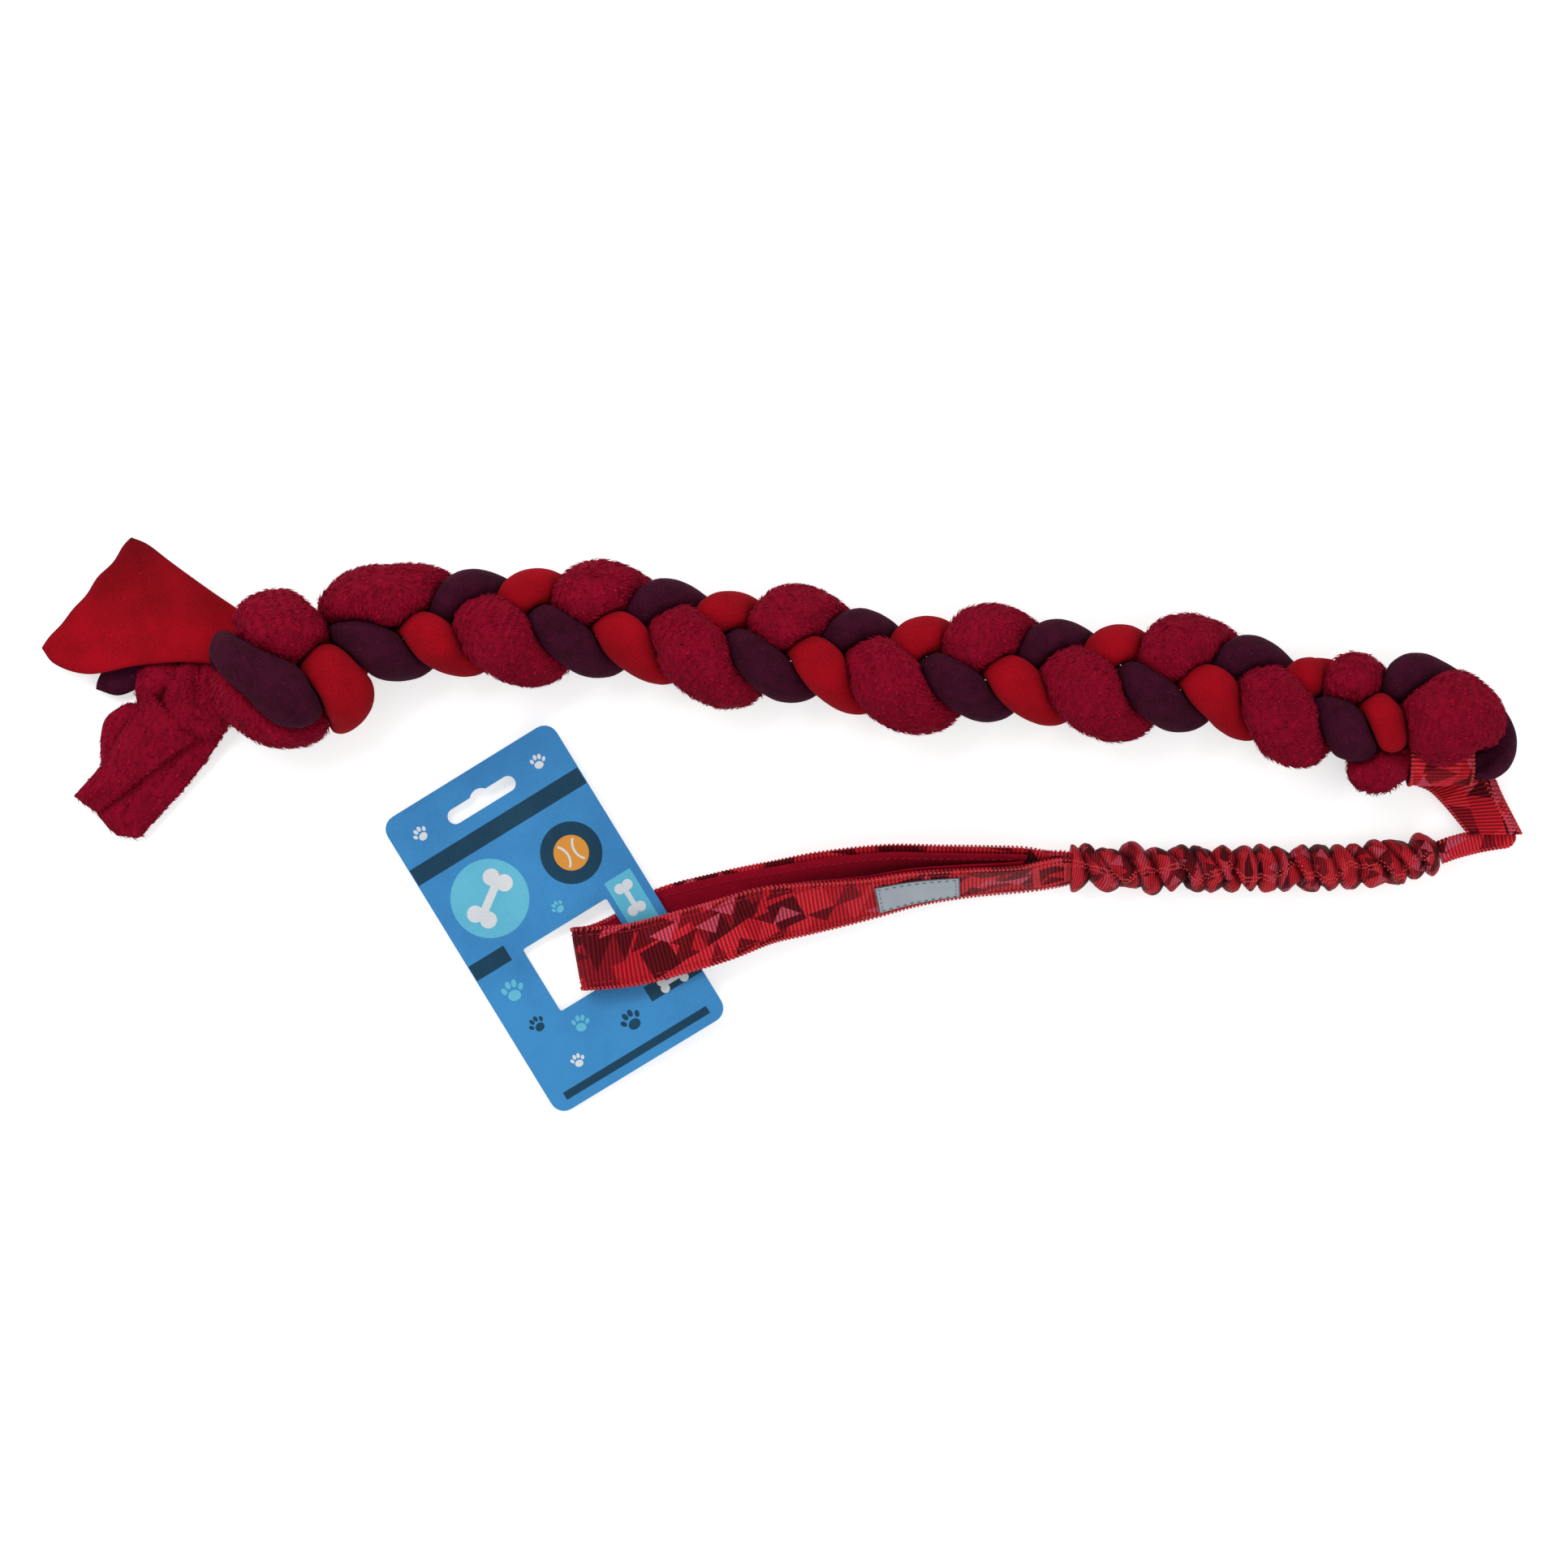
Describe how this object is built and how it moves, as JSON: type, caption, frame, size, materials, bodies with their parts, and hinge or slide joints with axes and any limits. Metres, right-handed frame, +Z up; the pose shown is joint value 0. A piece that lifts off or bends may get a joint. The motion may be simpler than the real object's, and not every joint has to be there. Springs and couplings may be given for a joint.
{
  "type": "bungee tug toy",
  "caption": "Braided fleece and plush dog tug, knotted at one end, on a gathered bungee lead with a lined webbing handle loop and a hang card threaded on it.",
  "frame": {"origin": "on the floor, under the middle of the toy's outline as it lies", "axes": "+X along the plait, from the knot and tails towards the bight and the webbing; +Z up from the floor; +Y from the handle towards the plait"},
  "size_m": [0.6117, 0.2364, 0.0522],
  "materials": {
    "plush": "crimson short-pile plush",
    "red_fleece": "smooth red fleece",
    "purple_fleece": "dark purple fleece",
    "printed_webbing": "ribbed grosgrain with a red facet print",
    "lining_fleece": "thin dark red fleece",
    "thread": "polyester sewing thread",
    "elastic": "flat braided elastic",
    "label": "grey woven label",
    "card": "printed coated board"
  },
  "bodies": {
    "plait": {"strand_plush": "plush", "strand_red_fleece": "red_fleece", "strand_purple_fleece": "purple_fleece", "loop_webbing": "printed_webbing", "connector_lower": "printed_webbing", "connector_upper": "printed_webbing", "connector_stitching": "thread", "connector_stitching_left": "thread"},
    "tail_under": {"tail_purple": "purple_fleece"},
    "tail_over": {"tail_red": "red_fleece"},
    "tail_side": {"tail_plush": "plush"},
    "lead": {"lead_webbing": "printed_webbing", "lead_stitching": "thread", "tack_far": "thread", "bungee_sleeve": "printed_webbing", "elastic_core": "elastic"},
    "bungee_end": {"tack_near": "thread"},
    "handle": {"neck_webbing": "printed_webbing", "neck_stitching": "thread", "handle_webbing": "printed_webbing", "handle_lining": "lining_fleece", "handle_stitching_upper": "thread", "handle_stitching_lower": "thread", "handle_label": "label", "label_stitching": "thread"},
    "card": {"hang_card": "card"}
  },
  "joints": [
    {"name": "purple_tail_lift", "type": "hinge", "parent": "plait", "child": "tail_under", "pos_m": [-0.2345, 0.0775, 0.0135], "axis": [0.3102, 0.9507, 0], "range_deg": [0, 20]},
    {"name": "red_tail_lift", "type": "hinge", "parent": "tail_under", "child": "tail_over", "pos_m": [-0.2345, 0.0775, 0.0135], "axis": [0.3102, 0.9507, 0], "range_deg": [0, 30]},
    {"name": "plush_tail_lift", "type": "hinge", "parent": "plait", "child": "tail_side", "pos_m": [-0.2335, 0.0475, 0.01], "axis": [-0.7828, 0.6222, 0], "range_deg": [0, 45]},
    {"name": "lead_swing", "type": "hinge", "parent": "plait", "child": "lead", "pos_m": [0.299, -0.0055, 0.002], "axis": [0, 0, 1], "range_deg": [0, 170]},
    {"name": "bungee_stretch", "type": "slide", "parent": "lead", "child": "bungee_end", "axis": [-1, 0, 0], "range_m": [0, 0.065], "stiffness_N_per_m": 120, "deforming": ["bungee_sleeve", "elastic_core"]},
    {"name": "handle_swing", "type": "hinge", "parent": "bungee_end", "child": "handle", "pos_m": [0.11865, -0.01705, 0.012], "axis": [0, 0, 1], "range_deg": [0, 60]},
    {"name": "card_slide", "type": "slide", "parent": "handle", "child": "card", "axis": [0.8486, 0.52, 0.0976], "range_m": [-0.01, 0.008]}
  ]
}
